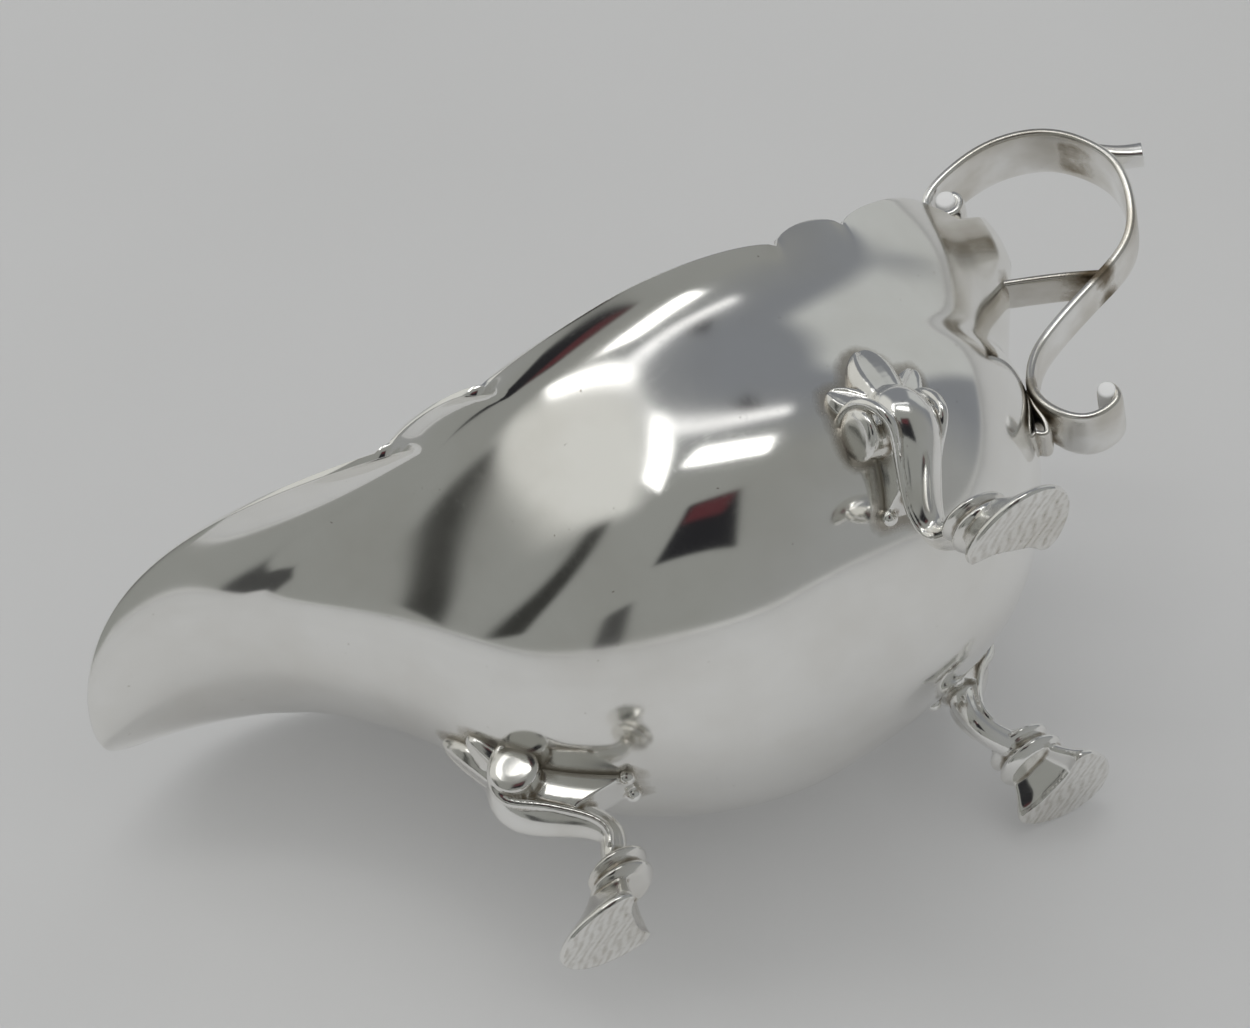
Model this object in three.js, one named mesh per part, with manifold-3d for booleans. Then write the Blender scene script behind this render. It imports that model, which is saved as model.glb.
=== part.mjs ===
// A small silver sauce boat: a raised bowl with a long lip and a shaped rim, three cast
// hoof feet with volute knees and applied leaves, and a double scroll strap handle.
// Millimetres, +Z up. The boat stands on its hooves at z = 0, with the lip towards -X,
// the handle towards +X and the port flank towards -Y. Azimuths are measured in plan
// about the bowl's centre, from the stern (0 degrees) round to the lip (180 degrees).
import * as THREE from "three";
import { mergeVertices } from "three/addons/utils/BufferGeometryUtils.js";
import Module from "manifold-3d";

const wasm = await Module();
wasm.setup();

// ---------------------------------------------------------------- driving dimensions

// The bowl.
const HALF_WIDTH = 37.6; // centre line to the fullest part of a flank
const STERN_REACH = 49.3; // plan centre to the belly under the handle
const LIP_REACH = 87.2; // plan centre to the tip of the lip
const BASE_HEIGHT = 9.7; // lowest point of the bowl above the table
const RIM_HEIGHT = 60; // rim at the flanks above the table
const WALL = 0.9; // thickness of the raised sheet

// The feet.
const KNEE_HEIGHT = 26; // volute centres above the table
const VOLUTE_RADIUS = 3.5;
const KNEE_HALF_WIDTH = 5.8; // centre line of a leg to the face of its volutes
const HOOF_WIDTH = 15;
const REAR_AZIMUTH = 58.5; // where the rear legs meet the bowl, in degrees
const REAR_TOE_ANGLE = 56; // plan direction of the rear toes, in degrees
const REAR_SPLAY = 6.4; // how far a rear hoof stands out from the bowl at the knee
const FRONT_SPLAY = 1;
const ANKLE_SETBACK = 5.2; // how far an ankle stands in from its hoof
const FRONT_CALF_SETBACK = 4.2; // the front leg first runs back under the throat
const REAR_CALF_SETBACK = 6.4;
const STRIP_LENGTH = 9; // height of the side strips that run back under the bowl
const LEAF_HEIGHT = 13.5; // from the knee to the tip of the leaf above it
const LEAF_THICKNESS = 2.2;
const LEAF_OVERHANG = 0.6; // beyond the volutes at each side
const LEAF_TUCK = 3; // how far its foot reaches down over the knee before it is cut

// The handle.
const HANDLE_REACH = 31; // belly to the back of the upper scroll
const HANDLE_FOOT_HEIGHT = 36; // where the strap meets the belly
const STRAP_WIDTH_TOP = 10;
const STRAP_WIDTH_WAIST = 7;
const STRAP_THICKNESS = 1.3;
const STRUT_WIDTH = 6.6;
const STRUT_THICKNESS = 1.2;
const THUMB_LEAF_WIDTH = 5;
const CURL_WIDTH = 6;
const TRIM_THICKNESS = 1.1; // of the thumb leaf and the foot curl

const GAP = 0.3; // solder line between two pieces

// ---------------------------------------------------------------- small helpers

const radians = THREE.MathUtils.degToRad;
const lerp = THREE.MathUtils.lerp;
const clamp = THREE.MathUtils.clamp;
const vec = (x, y, z) => new THREE.Vector3(x, y, z);
const bump = (value, middle, width) => Math.exp(-(((value - middle) / width) ** 2));
const range = (count) => Array.from({ length: count }, (_, index) => index);

// A closed mesh from rings of equal count, each end closed by a fan about its middle.
function loft(rings) {
  const sides = rings[0].length;
  const points = rings.flat();
  const first = points.push(middleOf(rings[0])) - 1;
  const last = points.push(middleOf(rings.at(-1))) - 1;
  const faces = [];
  const end = (rings.length - 1) * sides;
  for (let side = 0; side < sides; side++) {
    const next = (side + 1) % sides;
    for (let ring = 0; ring < end; ring += sides) {
      faces.push(ring + side, ring + next, ring + sides + next);
      faces.push(ring + side, ring + sides + next, ring + sides + side);
    }
    faces.push(first, next, side);
    faces.push(last, end + side, end + next);
  }
  return meshOf(points, faces);
}

function middleOf(ring) {
  const sum = ring.reduce((total, point) => total.add(point), vec(0, 0, 0));
  return sum.divideScalar(ring.length);
}

function meshOf(points, faces) {
  const geometry = new THREE.BufferGeometry().setFromPoints(points);
  geometry.setIndex(faces);
  return geometry;
}

function solidOf(geometry) {
  const bare = geometry.clone();
  bare.deleteAttribute("normal");
  bare.deleteAttribute("uv");
  const merged = mergeVertices(bare, 1e-4);
  const mesh = new wasm.Mesh({
    numProp: 3,
    vertProperties: new Float32Array(merged.attributes.position.array),
    triVerts: new Uint32Array(merged.index.array),
  });
  const solid = new wasm.Manifold(mesh);
  if (solid.volume() > 0) return solid;
  return new wasm.Manifold(
    new wasm.Mesh({
      numProp: 3,
      vertProperties: mesh.vertProperties,
      triVerts: mesh.triVerts.slice().reverse(),
    }),
  );
}

function geometryOf(solid) {
  const mesh = solid.getMesh();
  const geometry = new THREE.BufferGeometry();
  geometry.setAttribute("position", new THREE.BufferAttribute(mesh.vertProperties, 3));
  geometry.setIndex(new THREE.BufferAttribute(mesh.triVerts, 1));
  return geometry;
}

// A value read off a short list of [place, value] pairs, eased between them.
function along(stops, place) {
  const after = stops.findIndex(([stop]) => stop >= place);
  if (after === 0) return stops[0][1];
  if (after < 0) return stops.at(-1)[1];
  const [[low, from], [high, to]] = [stops[after - 1], stops[after]];
  return lerp(from, to, THREE.MathUtils.smoothstep(place, low, high));
}

// ---------------------------------------------------------------- the bowl's surface

// Hoops of the raised bowl from its base up, as shares of the driving dimensions: half
// width and height at the flank, reach and height at the lip and at the stern, and how
// far the throat between body and lip is drawn in.
const HOOPS = [
  { half: 0, flank: 0, lip: 0, lipRise: 0, stern: 0, sternRise: 0, waist: 0 },
  { half: 0.61, flank: 0.09, lip: 0.24, lipRise: 0.09, stern: 0.53, sternRise: 0.03, waist: 0.03 },
  { half: 0.94, flank: 0.29, lip: 0.45, lipRise: 0.36, stern: 0.865, sternRise: 0.29, waist: 0.03 },
  { half: 1.0, flank: 0.54, lip: 0.55, lipRise: 0.66, stern: 1.0, sternRise: 0.57, waist: 0.08 },
  { half: 0.98, flank: 0.76, lip: 0.66, lipRise: 0.92, stern: 1.01, sternRise: 0.68, waist: 0.12 },
  { half: 0.98, flank: 0.9, lip: 0.82, lipRise: 1.13, stern: 1.1, sternRise: 0.92, waist: 0.14 },
  { half: 1.02, flank: 0.94, lip: 1.0, lipRise: 1.13, stern: 1.12, sternRise: 1.075, waist: 0.07 },
];
const THROAT_AZIMUTH = 130;
const THROAT_SPREAD = 24;
const TAIL_REACH = 5.4; // the stern lobe stands out beyond the rest of the rim
const TAIL_RISE = 2.2;
const TAIL_SPREAD = 11; // degrees
const LIP_ARCH = 8.6; // the lip's edges rise above a line from the throat to its tip

// The shaped rim: arches that meet in cusps, each from one azimuth to the next.
const ARCHES = [
  { from: 13, to: 49, rise: 3.2 },
  { from: 49, to: 62, rise: 2.5 },
  { from: 62, to: 103, rise: 3.2 },
  { from: 103, to: 113, rise: 2.3 },
];
const LAST_CUSP = 113;

function hoopPoint(hoop, azimuth, level) {
  const turn = radians(azimuth);
  const [across, ahead] = [Math.sin(turn), Math.cos(turn)];
  const offStern = Math.abs(THREE.MathUtils.euclideanModulo(azimuth + 180, 360) - 180);
  const tail = bump(offStern, 0, TAIL_SPREAD) * clamp(level - 4, 0, 1);
  const reach = ahead > 0 ? STERN_REACH * hoop.stern : LIP_REACH * hoop.lip;
  const waist = 1 - hoop.waist * bump(offStern, THROAT_AZIMUTH, THROAT_SPREAD);
  const lipShare = ((1 - ahead) / 2) ** 2;
  const sternShare = ((1 + ahead) / 2) ** 5.5;
  const depth = RIM_HEIGHT - BASE_HEIGHT;
  const rise =
    hoop.flank +
    (hoop.lipRise - hoop.flank) * lipShare +
    (hoop.sternRise - hoop.flank) * sternShare;
  return vec(
    reach * ahead + TAIL_REACH * tail,
    HALF_WIDTH * hoop.half * across * waist,
    BASE_HEIGHT + depth * rise + TAIL_RISE * tail,
  );
}

function archRise(azimuth) {
  const offStern = Math.abs(THREE.MathUtils.euclideanModulo(azimuth + 180, 360) - 180);
  for (const { from, to, rise } of ARCHES) {
    const share = (offStern - from) / (to - from);
    if (share > 0 && share < 1) return rise * (4 * share * (1 - share)) ** 0.6;
  }
  const share = (offStern - LAST_CUSP) / (180 - LAST_CUSP);
  if (share <= 0 || share >= 1) return 0;
  return (LIP_ARCH / 0.74) * Math.sin(Math.PI * share) * Math.sqrt(1 - share);
}

// The outer surface: level runs from 0 at the base to 1 at the rim.
const CENTRE_X = 8.3; // plan centre of the bowl, before the whole boat is centred
function surfacePoint(azimuth, level) {
  const spans = HOOPS.length - 1;
  const place = clamp(level, 0, 1) * spans;
  const index = Math.min(Math.floor(place), spans - 1);
  const knots = [-1, 0, 1, 2].map((step) => {
    const at = index + step;
    if (at < 0) return hoopPoint(HOOPS[1], azimuth + 180, 1);
    if (at <= spans) return hoopPoint(HOOPS[at], azimuth, at);
    const [rim, below] = [spans, spans - 1].map((n) => hoopPoint(HOOPS[n], azimuth, n));
    return rim.multiplyScalar(2).sub(below);
  });
  const spline = (axis) => catmull(knots.map((knot) => knot[axis]), place - index);
  const point = vec(spline("x"), spline("y"), spline("z"));
  point.x += CENTRE_X;
  const nearRim = clamp((place - (spans - 1.2)) / 1.2, 0, 1) ** 1.5;
  point.z += nearRim * archRise(azimuth);
  return point;
}

function catmull([a, b, c, d], share) {
  const cubic = -a + 3 * b - 3 * c + d;
  const square = 2 * a - 5 * b + 4 * c - d;
  return 0.5 * (2 * b + (c - a) * share + square * share ** 2 + cubic * share ** 3);
}

function surfaceNormal(azimuth, level) {
  const [low, high] = [Math.max(level - 0.01, 0.004), Math.min(level + 0.01, 1)];
  const round = surfacePoint(azimuth + 1, level).sub(surfacePoint(azimuth - 1, level));
  const up = surfacePoint(azimuth, high).sub(surfacePoint(azimuth, low));
  return round.cross(up).normalize();
}

// The surface at a height, searched for up one meridian.
function surfaceAtHeight(azimuth, height) {
  let [low, high] = [0.08, 0.95];
  for (let step = 0; step < 30; step++) {
    const level = (low + high) / 2;
    if (surfacePoint(azimuth, level).z < height) low = level;
    else high = level;
  }
  return { point: surfacePoint(azimuth, low), normal: surfaceNormal(azimuth, low) };
}

// A closed shell between two offsets of the surface, measured outwards.
function bowlShell(inward, outward, meridians, levels) {
  const azimuths = range(meridians).map((index) => (360 * index) / meridians);
  const grid = (offset) =>
    range(levels).flatMap((row) => {
      const level = ((row + 1) / levels) ** 0.9;
      return azimuths.map((azimuth) =>
        surfacePoint(azimuth, level).addScaledVector(surfaceNormal(azimuth, level), offset),
      );
    });
  const base = surfacePoint(0, 0);
  const points = [
    ...grid(outward),
    base.clone().setZ(base.z - outward),
    ...grid(inward),
    base.clone().setZ(base.z - inward),
  ];
  const [outerBase, innerStart] = [levels * meridians, levels * meridians + 1];
  const innerBase = points.length - 1;
  const faces = [];
  for (let side = 0; side < meridians; side++) {
    const next = (side + 1) % meridians;
    faces.push(outerBase, next, side);
    faces.push(innerBase, innerStart + side, innerStart + next);
    for (let row = 0; row < levels - 1; row++) {
      const [low, high] = [row * meridians, (row + 1) * meridians];
      faces.push(low + side, low + next, high + next);
      faces.push(low + side, high + next, high + side);
      const [lowIn, highIn] = [innerStart + low, innerStart + high];
      faces.push(lowIn + side, highIn + next, lowIn + next);
      faces.push(lowIn + side, highIn + side, highIn + next);
    }
    const rim = (levels - 1) * meridians;
    faces.push(rim + side, rim + next, innerStart + rim + next);
    faces.push(rim + side, innerStart + rim + next, innerStart + rim + side);
  }
  return meshOf(points, faces);
}

const MERIDIANS = 72;
const LEVELS = 15;
const bowl = bowlShell(-WALL, 0, MERIDIANS, LEVELS);
const bowlWithClearance = solidOf(bowlShell(-WALL - GAP, GAP, MERIDIANS, LEVELS));
const clearOfBowl = (geometry) =>
  geometryOf(largestPiece(solidOf(geometry).subtract(bowlWithClearance)));

function largestPiece(solid) {
  const pieces = solid.decompose();
  return pieces.reduce((best, piece) => (piece.volume() > best.volume() ? piece : best));
}

function joined(geometries) {
  return geometryOf(geometries.map(solidOf).reduce((whole, part) => whole.add(part)));
}

// ---------------------------------------------------------------- the feet

// A leg is built in its own plane: out is towards the toe from the hoof's middle, side
// is across, and up is height. This places that plane in the boat.
function legFrame(azimuth, toeAngle, splay, calfSetback) {
  const knee = surfaceAtHeight(azimuth, KNEE_HEIGHT).point;
  const turn = radians(toeAngle);
  const outward = vec(Math.cos(turn), Math.sin(turn), 0);
  const sideways = vec(-outward.y, outward.x, 0);
  const place = (out, side, up) =>
    vec(knee.x, knee.y, up)
      .addScaledVector(outward, out + splay)
      .addScaledVector(sideways, side);
  return { place, sideways, azimuth, kneeOut: KNEE_STAND_OFF - splay, calfOut: -calfSetback };
}
const KNEE_STAND_OFF = 1.5; // volute centres outside the bowl's surface

function ring(sides, pointAt) {
  return range(sides).map((index) => pointAt((2 * Math.PI * index) / sides));
}

function oval(frame, out, up, halfSide, halfOut) {
  return ring(12, (turn) =>
    frame.place(out + halfOut * Math.cos(turn), halfSide * Math.sin(turn), up),
  );
}

// The hoof's outline, long at the toe and notched at the heel, in half widths.
const TOE_LENGTH = 1.33;
const HEEL_LENGTH = 0.66;
const HEEL_NOTCH = 0.5;
function hoofRing(frame, out, up, scale) {
  const half = (HOOF_WIDTH / 2) * scale;
  return ring(20, (turn) => {
    const forward = Math.cos(turn);
    const heel = HEEL_LENGTH - HEEL_NOTCH * bump(forward, -1, 0.35);
    const length = (forward > 0 ? TOE_LENGTH : heel) * forward;
    return frame.place(out + half * length, half * Math.sin(turn), up);
  });
}

// A round rod through points, with one radius at each; flat says which way its rings lie.
function rod(points, radii, flat) {
  const rings = points.map((point, index) => {
    const before = points[Math.max(index - 1, 0)];
    const after = points[Math.min(index + 1, points.length - 1)];
    const tangent = after.clone().sub(before).normalize();
    const across = flat.clone().addScaledVector(tangent, -flat.dot(tangent)).normalize();
    const lift = across.clone().cross(tangent);
    return ring(8, (turn) =>
      point
        .clone()
        .addScaledVector(across, radii[index] * Math.cos(turn))
        .addScaledVector(lift, radii[index] * Math.sin(turn)),
    );
  });
  return loft(rings);
}

// Hoof, ringed fetlock, slender ankle and swelling knee, as [up, out, half side, half
// out], with heights as shares of the knee's height and widths as shares of the hoof's.
function shank(frame, grown = 0) {
  const [ankle, calf, knee] = [-ANKLE_SETBACK, frame.calfOut, frame.kneeOut];
  const sections = [
    [0.16, -2.2, 0.27, 0.24],
    [0.215, -2.1, 0.32, 0.3],
    [0.255, -2.5, 0.28, 0.25],
    [0.295, -2.7, 0.31, 0.28],
    [0.345, -3.7, 0.22, 0.2],
    [0.445, ankle, 0.155, 0.135],
    [0.56, lerp(ankle, calf, 0.6), 0.16, 0.145],
    [0.69, calf, 0.21, 0.22],
    [0.83, lerp(calf, knee, 0.45), 0.285, 0.24],
    [1.0, knee, 0.305, 0.22],
    [1.12, knee - 0.6, 0.225, 0.145],
  ];
  return loft(
    sections.map(([up, out, halfSide, halfOut]) => {
      const [wide, deep] = [halfSide, halfOut].map((share) => share * HOOF_WIDTH + grown);
      return oval(frame, out, up * KNEE_HEIGHT + (up > 1 ? grown : 0), wide, deep);
    }),
  );
}

function hoof(frame) {
  const sections = [
    [0, 0, 1],
    [0.035, 0, 1],
    [0.1, -0.6, 0.8],
    [0.18, -1.6, 0.62],
    [0.24, -2.4, 0.5],
  ];
  return loft(
    sections.map(([up, out, scale]) => hoofRing(frame, out, up * KNEE_HEIGHT, scale)),
  );
}

// A volute boss at one side of the knee, and the strip that runs from it back under the
// bowl to a small bead.
const VOLUTE_DEPTH = 3;
const VOLUTE_CHAMFER = 0.7;
function volute(frame, hand, grown = 0) {
  const face = (side, radius) =>
    ring(16, (turn) =>
      frame.place(
        frame.kneeOut + radius * Math.cos(turn),
        hand * side,
        KNEE_HEIGHT + radius * Math.sin(turn),
      ),
    );
  return loft([
    face(KNEE_HALF_WIDTH - VOLUTE_DEPTH - grown, VOLUTE_RADIUS + grown),
    face(KNEE_HALF_WIDTH - VOLUTE_CHAMFER + grown, VOLUTE_RADIUS + grown),
    face(KNEE_HALF_WIDTH + grown, VOLUTE_RADIUS - VOLUTE_CHAMFER + grown),
  ]);
}

function strip(frame, hand, grown = 0) {
  const side = hand * (KNEE_HALF_WIDTH - 2.2);
  const start = frame.place(frame.kneeOut - 0.5, side, KNEE_HEIGHT - 0.5);
  const onBowl = [0.25, 0.5, 0.75, 0.93, 1].map((share) => {
    const { point, normal } = surfaceAtHeight(frame.azimuth, KNEE_HEIGHT - share * STRIP_LENGTH);
    return point.addScaledVector(normal, 1.3).addScaledVector(frame.sideways, side);
  });
  const radii = [1.6, 1.4, 1.1, 1, 1.5, 0.9].map((radius) => radius + grown);
  return rod([start, ...onBowl], radii, frame.sideways);
}

function knee(frame, grown = 0) {
  const sides = [-1, 1].flatMap((hand) => [
    volute(frame, hand, grown),
    strip(frame, hand, grown),
  ]);
  return joined([shank(frame, grown), ...sides]);
}

function leg(frame) {
  return clearOfBowl(joined([hoof(frame), knee(frame)]));
}

// The leaf applied to the bowl above a knee: rounded lobes that fan upwards, with the
// underside following the bowl at the solder gap. Its foot is cut to the knee it stands
// on, grown by the same gap.
const LEAF_LOBES = 5;
function leaf(frame) {
  const azimuth = frame.azimuth;
  const [spokes, rows] = [36, 4];
  const foot = KNEE_HEIGHT + VOLUTE_RADIUS - LEAF_TUCK;
  const half = KNEE_HALF_WIDTH + LEAF_OVERHANG;
  const root = surfaceAtHeight(azimuth, KNEE_HEIGHT).point;
  const degreesPerMm = 180 / Math.PI / Math.hypot(root.x - CENTRE_X, root.y);
  const spot = (spoke, share) => {
    const fan = Math.PI * (spoke / (spokes - 1));
    const scallop = 0.84 + 0.16 * Math.abs(Math.sin(LEAF_LOBES * fan));
    const side = -half * Math.cos(fan) * share * scallop;
    const up = (LEAF_HEIGHT + LEAF_TUCK - VOLUTE_RADIUS) * Math.sin(fan) * share * scallop;
    return surfaceAtHeight(azimuth + side * degreesPerMm, foot + up);
  };
  const layer = (height) =>
    range(spokes).map((spoke) =>
      range(rows + 1).map((row) => {
        const { point, normal } = spot(spoke, row / rows);
        return point.addScaledVector(normal, height(row / rows));
      }),
    );
  const under = layer(() => GAP);
  const over = layer((share) => 2 * GAP + LEAF_THICKNESS * (1 - 0.75 * share ** 3));
  const rings = range(spokes).map((spoke) => [...under[spoke], ...over[spoke].reverse()]);
  const onKnee = solidOf(loft(rings)).subtract(solidOf(knee(frame, GAP)));
  return clearOfBowl(geometryOf(largestPiece(onKnee)));
}

// ---------------------------------------------------------------- the handle

// Outlines of the handle lie in the boat's middle plane, in shares: across from the
// belly to the back of the upper scroll, and up from the foot to the scroll's top. The
// upper volute hangs over the stern lobe, so its underside sets the height of the rest.
const belly = surfaceAtHeight(0, HANDLE_FOOT_HEIGHT).point;
const sternRim = surfacePoint(0, 1);
const VOLUTE_SHARE = 0.81; // height share of the upper volute's underside
const voluteSeat = sternRim.z + 2 * GAP + STRAP_THICKNESS / 2;
const handleSpot = ([across, up]) =>
  vec(
    belly.x + GAP + STRAP_THICKNESS / 2 + across * HANDLE_REACH,
    0,
    lerp(HANDLE_FOOT_HEIGHT, voluteSeat, up / VOLUTE_SHARE),
  );
const handleCurve = (outline) =>
  new THREE.CatmullRomCurve3(outline.map(handleSpot), false, "centripetal");

// A strap bent flat-ways along a curve in the middle plane, with eased edges.
function strap(curve, steps, widthAt, thickness) {
  const thick = thickness / 2;
  const rings = range(steps + 1).map((step) => {
    const share = step / steps;
    const point = curve.getPointAt(share);
    const tangent = curve.getTangentAt(share);
    const normal = vec(-tangent.z, 0, tangent.x);
    const half = widthAt(share) / 2;
    const section = [
      [-half, -thick * 0.5],
      [-half + thick, -thick],
      [half - thick, -thick],
      [half, -thick * 0.5],
      [half, thick * 0.5],
      [half - thick, thick],
      [-half + thick, thick],
      [-half, thick * 0.5],
    ];
    return section.map(([side, out]) =>
      point.clone().addScaledVector(normal, out).add(vec(0, side, 0)),
    );
  });
  return loft(rings);
}

const SCROLL = [
  [0.26, 0.88], [0.29, 0.84], [0.24, 0.81], [0.17, 0.84], [0.15, 0.91], [0.22, 0.965],
  [0.39, 1.0], [0.6, 1.0], [0.82, 0.92], [0.95, 0.77], [0.98, 0.62], [0.91, 0.46],
  [0.78, 0.345], [0.59, 0.285], [0.41, 0.24], [0.24, 0.19], [0.11, 0.13], [0.02, 0.04],
  [0.0, -0.05], [0.03, -0.14], [0.11, -0.215], [0.22, -0.23], [0.29, -0.2], [0.28, -0.15],
  [0.24, -0.155],
];
const THUMB_LEAF = [[0.9, 0.88], [0.985, 0.79], [1.07, 0.73], [1.16, 0.69]];
const FOOT_CURL = [[0.0, 0.03], [-0.025, -0.04], [-0.03, -0.11], [-0.06, -0.16], [-0.1, -0.14]];
const STRUT = [[0.16, 0.49], [0.26, 0.45], [0.45, 0.37], [0.6, 0.29]];

const scrollWidth = (share) =>
  STRAP_WIDTH_WAIST +
  (STRAP_WIDTH_TOP - STRAP_WIDTH_WAIST) *
    along([[0, 0.8], [0.2, 1], [0.4, 1], [0.62, 0], [0.72, 0], [0.9, 1], [1, 1]], share);
const SCROLL_STEPS = 96;
const scrollCurve = handleCurve(SCROLL);
const scroll = strap(scrollCurve, SCROLL_STEPS, scrollWidth, STRAP_THICKNESS);
const scrollWithClearance = solidOf(
  strap(scrollCurve, SCROLL_STEPS, (share) => scrollWidth(share) + GAP, STRAP_THICKNESS + 2 * GAP),
);

// A short strap soldered to the scroll, with the solder gap cut out of its ends.
function scrollTrim(outline, widthAt, thickness) {
  const whole = solidOf(strap(handleCurve(outline), 14, widthAt, thickness));
  return clearOfBowl(geometryOf(largestPiece(whole.subtract(scrollWithClearance))));
}

// ---------------------------------------------------------------- the assembly

const silver = (color, roughness) => () =>
  new THREE.MeshStandardMaterial({ color, roughness, metalness: 1 });
const polished = silver("#d9dadb", 0.12);
const cast = silver("#c8c5bd", 0.28);

const boat = new THREE.Group();
function add(name, geometry, material) {
  const mesh = new THREE.Mesh(geometry, material());
  mesh.name = name;
  mesh.geometry.computeVertexNormals();
  boat.add(mesh);
}

const LEGS = {
  front: legFrame(180, 180, FRONT_SPLAY, FRONT_CALF_SETBACK),
  port_rear: legFrame(-REAR_AZIMUTH, -REAR_TOE_ANGLE, REAR_SPLAY, REAR_CALF_SETBACK),
  starboard_rear: legFrame(REAR_AZIMUTH, REAR_TOE_ANGLE, REAR_SPLAY, REAR_CALF_SETBACK),
};

add("bowl", bowl, polished);
for (const [name, frame] of Object.entries(LEGS)) {
  add(`${name}_leg`, leg(frame), cast);
  add(`${name}_leaf`, leaf(frame), cast);
}
add("handle_scroll", clearOfBowl(scroll), cast);
add("handle_strut", scrollTrim(STRUT, () => STRUT_WIDTH, STRUT_THICKNESS), cast);
add(
  "handle_thumb_leaf",
  scrollTrim(THUMB_LEAF, (share) => THUMB_LEAF_WIDTH * (1 - 0.45 * share), TRIM_THICKNESS),
  cast,
);
add("handle_foot_curl", scrollTrim(FOOT_CURL, () => CURL_WIDTH, TRIM_THICKNESS), cast);

// The origin is under the middle of the whole boat's length.
const extent = new THREE.Box3().setFromObject(boat);
boat.position.x = -(extent.min.x + extent.max.x) / 2;

const sauceBoat = new THREE.Group();
sauceBoat.add(boat);

export default sauceBoat;
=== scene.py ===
# %% [markdown]
# # A silver sauce boat on three hoof feet
#
# The real thing is a bowl raised from one sheet of silver, with a long pouring lip and a
# rim cut into arches. Three cast legs with volute knees, a leaf of three lobes above
# each knee and a strap handle bent into two scrolls are soldered on. It lies on its starboard
# side on a pale table, so that its underside and its port flank are seen.
#
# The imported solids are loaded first. They fix the size and the place of every piece,
# and each visible piece made below stands in for one of them.

# %% Load the frame
import bpy
import math
import numpy as np
from mathutils import Matrix, Vector
from mathutils.bvhtree import BVHTree
from mathutils.kdtree import KDTree


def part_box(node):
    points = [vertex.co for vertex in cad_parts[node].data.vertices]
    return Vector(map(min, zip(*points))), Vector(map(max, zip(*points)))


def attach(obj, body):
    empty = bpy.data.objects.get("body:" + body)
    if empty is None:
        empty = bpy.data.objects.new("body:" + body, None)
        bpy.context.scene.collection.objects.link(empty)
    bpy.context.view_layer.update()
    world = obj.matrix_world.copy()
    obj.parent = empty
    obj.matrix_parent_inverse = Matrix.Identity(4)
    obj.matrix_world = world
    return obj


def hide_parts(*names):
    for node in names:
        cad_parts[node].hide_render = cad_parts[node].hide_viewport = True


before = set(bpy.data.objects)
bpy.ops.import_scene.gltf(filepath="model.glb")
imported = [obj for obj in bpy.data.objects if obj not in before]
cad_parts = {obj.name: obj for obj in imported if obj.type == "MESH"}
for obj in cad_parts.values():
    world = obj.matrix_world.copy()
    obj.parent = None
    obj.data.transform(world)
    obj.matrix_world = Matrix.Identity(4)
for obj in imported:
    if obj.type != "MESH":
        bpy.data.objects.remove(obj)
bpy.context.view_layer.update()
MM = 0.001

# %% [markdown]
# ## The camera
#
# The boat stands upright in its own axes, so a camera that looks up at it from below
# and is rolled to one side shows it as it looks when it has been laid on its side.
# Three angles say this better than a target point would.

# %% Camera
TRIPOD = Vector((-68.585, -448.114, -213.712)) * MM
HEADING, TILT, ROLL = (math.radians(angle) for angle in (7.873, 30.72, -34.81))
FOCAL_LENGTH = 106.96  # on a 36 mm wide sensor

camera = bpy.data.objects.new("camera", bpy.data.cameras.new("camera"))
bpy.context.scene.collection.objects.link(camera)
camera.data.lens = FOCAL_LENGTH
camera.data.sensor_width = 36
camera.data.clip_start = 0.01
turn = (
    Matrix.Rotation(-HEADING, 4, "Z")
    @ Matrix.Rotation(math.pi / 2 + TILT, 4, "X")
    @ Matrix.Rotation(ROLL, 4, "Z")
)
camera.matrix_world = Matrix.Translation(TRIPOD) @ turn
bpy.context.scene.camera = camera
print("camera looks along", [round(value, 3) for value in turn @ Vector((0, 0, -1))])

# %% [markdown]
# ## Node trees as arithmetic
#
# Both the shapes and the finishes below are node trees. A Wire is one socket's value,
# and Python's arithmetic on it adds Math nodes, so that a formula reads as a formula.
# Every other node comes from one method, which takes its type, its settings and the
# values of its sockets.

# %% A small wrapper for sockets
class Wire:
    def __init__(self, tree, socket):
        self.tree, self.socket = tree, socket

    def math(self, operation, *others):
        values = dict(enumerate((self, *others)))
        return self.tree.node("ShaderNodeMath", {"operation": operation}, values)

    def __add__(self, other):
        return self.math("ADD", other)

    def __sub__(self, other):
        return self.math("SUBTRACT", other)

    def __rsub__(self, other):
        return (self * -1) + other

    def __mul__(self, other):
        return self.math("MULTIPLY", other)

    def __truediv__(self, other):
        return self.math("DIVIDE", other)

    def __pow__(self, other):
        return self.math("POWER", other)

    __radd__, __rmul__ = __add__, __mul__

    def clamped(self, low=0.0, high=1.0):
        return self.math("MAXIMUM", low).math("MINIMUM", high)

    def bump(self, middle, width):
        """A bell of height 1 about the middle."""
        away = (self - middle) / width
        return (away * away * -1).math("EXPONENT")


class Tree:
    def __init__(self, node_tree):
        self.node_tree = node_tree

    def node(self, kind, settings=None, values=None, output=0):
        node = self.node_tree.nodes.new(kind)
        for name, setting in (settings or {}).items():
            setattr(node, name, setting)
        for name, value in (values or {}).items():
            socket = node.inputs[name]
            if isinstance(value, Wire):
                self.node_tree.links.new(value.socket, socket)
            else:
                socket.default_value = value
        return Wire(self, node.outputs[output])

    def position(self):
        place = self.node("GeometryNodeInputPosition")
        return [
            self.node("ShaderNodeSeparateXYZ", values={0: place}, output=axis)
            for axis in range(3)
        ]

    def vector(self, x=0.0, y=0.0, z=0.0):
        return self.node("ShaderNodeCombineXYZ", values={0: x, 1: y, 2: z})


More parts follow.
